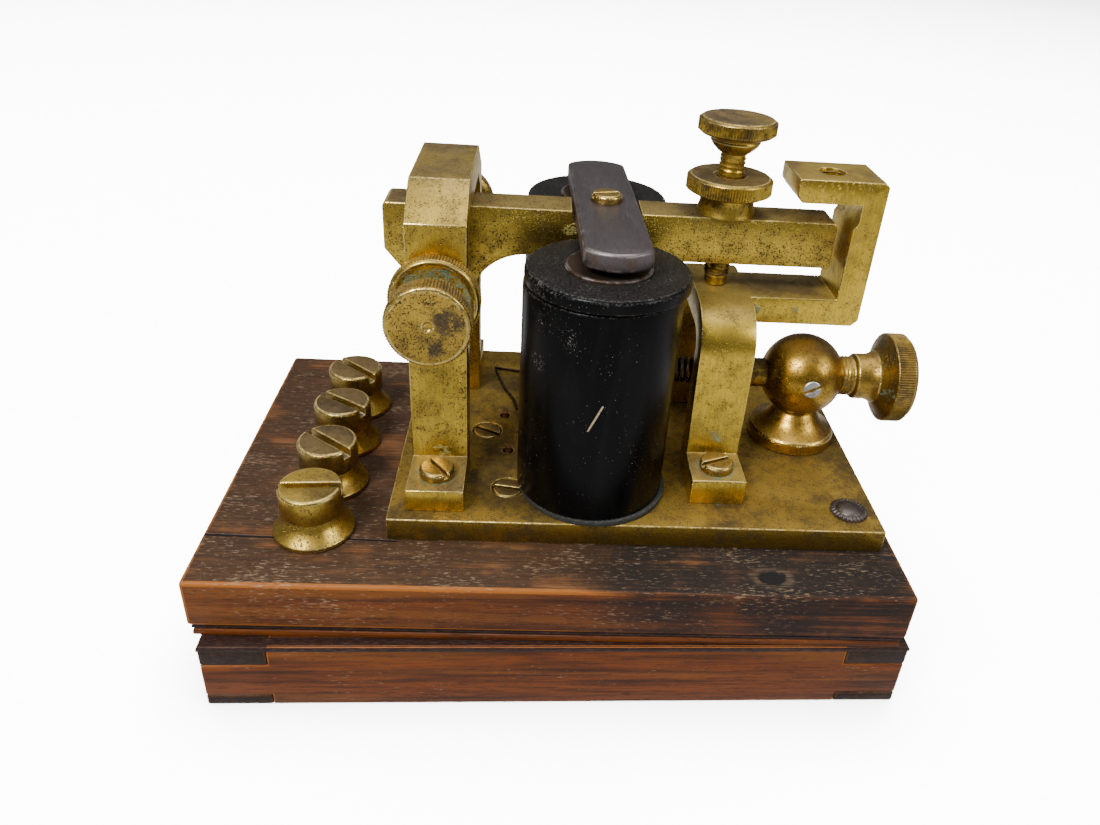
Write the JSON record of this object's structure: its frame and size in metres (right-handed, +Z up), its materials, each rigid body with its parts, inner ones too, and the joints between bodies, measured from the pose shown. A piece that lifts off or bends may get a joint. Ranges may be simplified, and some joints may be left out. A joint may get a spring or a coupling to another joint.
{
  "type": "telegraph sounder",
  "caption": "Brass telegraph sounder on a beaded mahogany base: coils, armature lever on a pivot bridge, anvil arch with stop bracket, spring tension knob and a row of terminals.",
  "frame": {"origin": "centre of the base board's underside, the surface the sounder stands on", "axes": "+X along the lever from the pivot bridge to the anvil and tension knob, +Y from the front coil to the rear coil, +Z up"},
  "size_m": [0.1764, 0.11, 0.1262],
  "materials": {
    "slab_wood": "varnished mahogany, worn and dusty",
    "lip_wood": "varnished mahogany, darker in its quirks",
    "tray_wood": "varnished mahogany, ebonised along the top of the rails",
    "screw_brass": "worn orange-gold brass",
    "plate_brass": "tarnished brown-olive brass with gold patches",
    "casting_brass": "aged lacquered brass with brown spots",
    "lever_brass": "aged brass with brown pits",
    "turned_brass": "tarnished turned brass, knurled edges",
    "terminal_brass": "tarnished brass, bright at its edges",
    "screw_steel": "dull grey steel",
    "armature_steel": "grey-brown brushed steel",
    "core_iron": "brown iron with a paler ring",
    "ebonite": "black ebonite with dust and scratches",
    "copper_wire": "enamelled copper wire"
  },
  "bodies": {
    "base": {"base_slab": "slab_wood", "lip_board": "lip_wood", "tray_front": "tray_wood", "tray_back": "tray_wood", "tray_left": "tray_wood", "tray_right": "tray_wood", "bottom_board": "tray_wood", "base_screws": "screw_brass", "baseplate": "plate_brass", "baseplate_screws": "screw_brass", "fluted_studs": "screw_steel", "yoke": "core_iron", "core_screws": "screw_steel", "front_core": "core_iron", "rear_core": "core_iron", "front_spool": "ebonite", "rear_spool": "ebonite", "front_winding": "copper_wire", "rear_winding": "copper_wire", "front_sleeve": "ebonite", "rear_sleeve": "ebonite", "front_top_cheek": "ebonite", "rear_top_cheek": "ebonite", "pivot_bridge": "casting_brass", "bridge_screws": "screw_brass", "anvil_arch": "casting_brass", "anvil_screws": "screw_brass", "ball_post": "turned_brass", "post_nut": "turned_brass", "ball_set_screw": "screw_steel", "tension_spring": "screw_steel", "terminal_skirts": "terminal_brass", "terminal_nuts": "terminal_brass", "lead_wires": "copper_wire", "coil_tail": "copper_wire"},
    "lever": {"lever": "lever_brass", "armature": "armature_steel", "armature_screw": "screw_brass", "spring_arm": "lever_brass"},
    "front_pivot_screw": {"front_pivot_screw": "turned_brass"},
    "rear_pivot_screw": {"rear_pivot_screw": "turned_brass"},
    "front_pivot_locknut": {"front_pivot_locknut": "turned_brass"},
    "rear_pivot_locknut": {"rear_pivot_locknut": "turned_brass"},
    "stop_screw": {"stop_screw": "turned_brass"},
    "stop_locknut": {"stop_locknut": "turned_brass"},
    "draw_rod": {"draw_rod": "turned_brass"},
    "tension_screw": {"tension_screw": "turned_brass"},
    "terminal_screw_1": {"terminal_screw_1": "terminal_brass"},
    "terminal_screw_2": {"terminal_screw_2": "terminal_brass"},
    "terminal_screw_3": {"terminal_screw_3": "terminal_brass"},
    "terminal_screw_4": {"terminal_screw_4": "terminal_brass"}
  },
  "joints": [
    {"name": "lever_pivot", "type": "hinge", "parent": "base", "child": "lever", "pos_m": [-0.0295, 0.00725, 0.0893], "axis": [0, -1, 0], "range_deg": [0, 3], "deforming": ["tension_spring"]},
    {"name": "front_pivot_turn", "type": "hinge", "parent": "base", "child": "front_pivot_screw", "pos_m": [-0.0295, -0.017, 0.0893], "axis": [0, 1, 0], "continuous": true},
    {"name": "rear_pivot_turn", "type": "hinge", "parent": "base", "child": "rear_pivot_screw", "pos_m": [-0.0295, 0.032, 0.0893], "axis": [0, 1, 0], "continuous": true},
    {"name": "front_locknut_turn", "type": "hinge", "parent": "base", "child": "front_pivot_locknut", "pos_m": [-0.0295, -0.019, 0.0893], "axis": [0, 1, 0], "continuous": true},
    {"name": "rear_locknut_turn", "type": "hinge", "parent": "base", "child": "rear_pivot_locknut", "pos_m": [-0.0295, 0.034, 0.0893], "axis": [0, 1, 0], "continuous": true},
    {"name": "stop_screw_turn", "type": "hinge", "parent": "lever", "child": "stop_screw", "pos_m": [0.0377, 0.00725, 0.1], "axis": [0, 0, 1], "continuous": true},
    {"name": "stop_locknut_turn", "type": "hinge", "parent": "lever", "child": "stop_locknut", "pos_m": [0.0377, 0.00725, 0.108], "axis": [0, 0, 1], "continuous": true},
    {"name": "draw_slide", "type": "slide", "parent": "base", "child": "draw_rod", "axis": [1, 0, 0], "range_m": [-0.00162, 0.00162], "deforming": ["tension_spring"]},
    {"name": "tension_turn", "type": "hinge", "parent": "draw_rod", "child": "tension_screw", "pos_m": [0.085, 0.00725, 0.0599], "axis": [1, 0, 0], "range_deg": [-720, 720]},
    {"name": "terminal_turn_1", "type": "hinge", "parent": "base", "child": "terminal_screw_1", "pos_m": [-0.0576, -0.0324, 0.045], "axis": [0, 0, 1], "continuous": true},
    {"name": "terminal_turn_2", "type": "hinge", "parent": "base", "child": "terminal_screw_2", "pos_m": [-0.0576, -0.0136, 0.045], "axis": [0, 0, 1], "continuous": true},
    {"name": "terminal_turn_3", "type": "hinge", "parent": "base", "child": "terminal_screw_3", "pos_m": [-0.0576, 0.0052, 0.045], "axis": [0, 0, 1], "continuous": true},
    {"name": "terminal_turn_4", "type": "hinge", "parent": "base", "child": "terminal_screw_4", "pos_m": [-0.0576, 0.024, 0.045], "axis": [0, 0, 1], "continuous": true}
  ],
  "couplings": [
    {"joint": "draw_slide", "follows": "tension_turn", "m_per_rad": 0.00012732}
  ]
}
